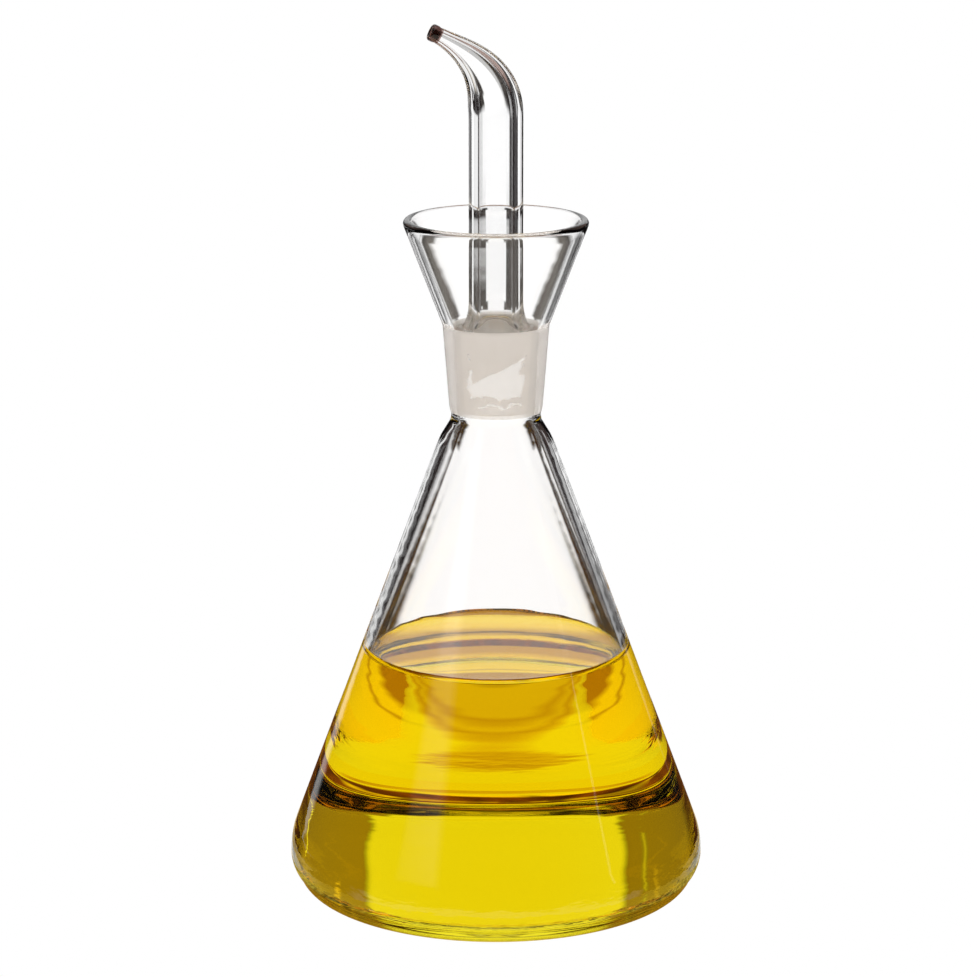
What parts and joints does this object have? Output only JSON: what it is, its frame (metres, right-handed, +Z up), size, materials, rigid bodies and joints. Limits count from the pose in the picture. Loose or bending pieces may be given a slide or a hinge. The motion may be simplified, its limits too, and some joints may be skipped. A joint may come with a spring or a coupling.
{
  "type": "oil cruet",
  "caption": "Clear glass oil cruet: cone-shaped flask with a funnel mouth and a ground neck, bent glass spout on a ground plug, and yellow oil inside.",
  "frame": {"origin": "on the flask's axis, at the bottom of its standing ring", "axes": "+Z up along the flask's axis, -X towards the tip of the spout"},
  "size_m": [0.088, 0.088, 0.1837],
  "materials": {
    "flask_glass": "polished clear glass",
    "spout_glass": "polished clear glass with a ground plug",
    "oil": "clear yellow oil"
  },
  "bodies": {
    "root": {"flask": "flask_glass", "spout_stopper": "spout_glass", "oil": "oil"}
  },
  "joints": []
}
